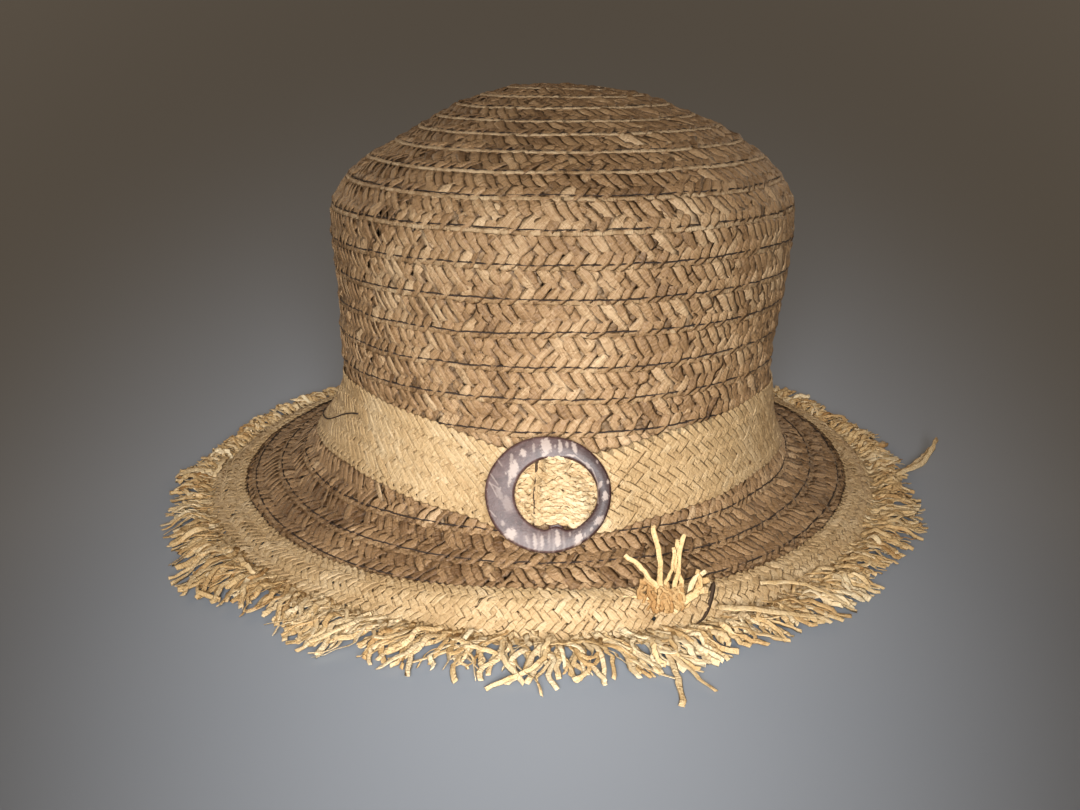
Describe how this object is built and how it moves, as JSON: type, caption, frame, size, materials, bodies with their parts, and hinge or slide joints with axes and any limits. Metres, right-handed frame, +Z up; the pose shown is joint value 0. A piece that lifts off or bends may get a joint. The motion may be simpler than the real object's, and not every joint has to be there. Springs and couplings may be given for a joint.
{
  "type": "woven straw cloche sun hat",
  "caption": "Woven straw cloche sun hat with a domed crown, a short bell brim, a light border with a frayed fringe, and a light hat band through a coconut-shell ring buckle.",
  "frame": {"origin": "centre of the bounding box, at the surface the hat rests on", "axes": "+Z up, square to the rim; -Y towards the front, where the buckle is; +X towards the wearer's left"},
  "size_m": [0.3044, 0.326, 0.1631],
  "materials": {
    "dark_straw": "matte flat plait of brown paper straw, sewn in courses with dark thread",
    "light_straw": "matte woven tape of straw-yellow paper strips",
    "frayed_straw": "matte crinkled loose strips of the same straw-yellow paper",
    "coconut_shell": "polished purple-brown shell with cream flecks and streaks"
  },
  "bodies": {
    "root": {"crown_top": "dark_straw", "crown_wall": "dark_straw", "brim": "dark_straw", "brim_border": "light_straw", "fringe": "frayed_straw", "fringe_tuft": "frayed_straw", "hat_band": "light_straw", "buckle": "coconut_shell"}
  },
  "joints": []
}
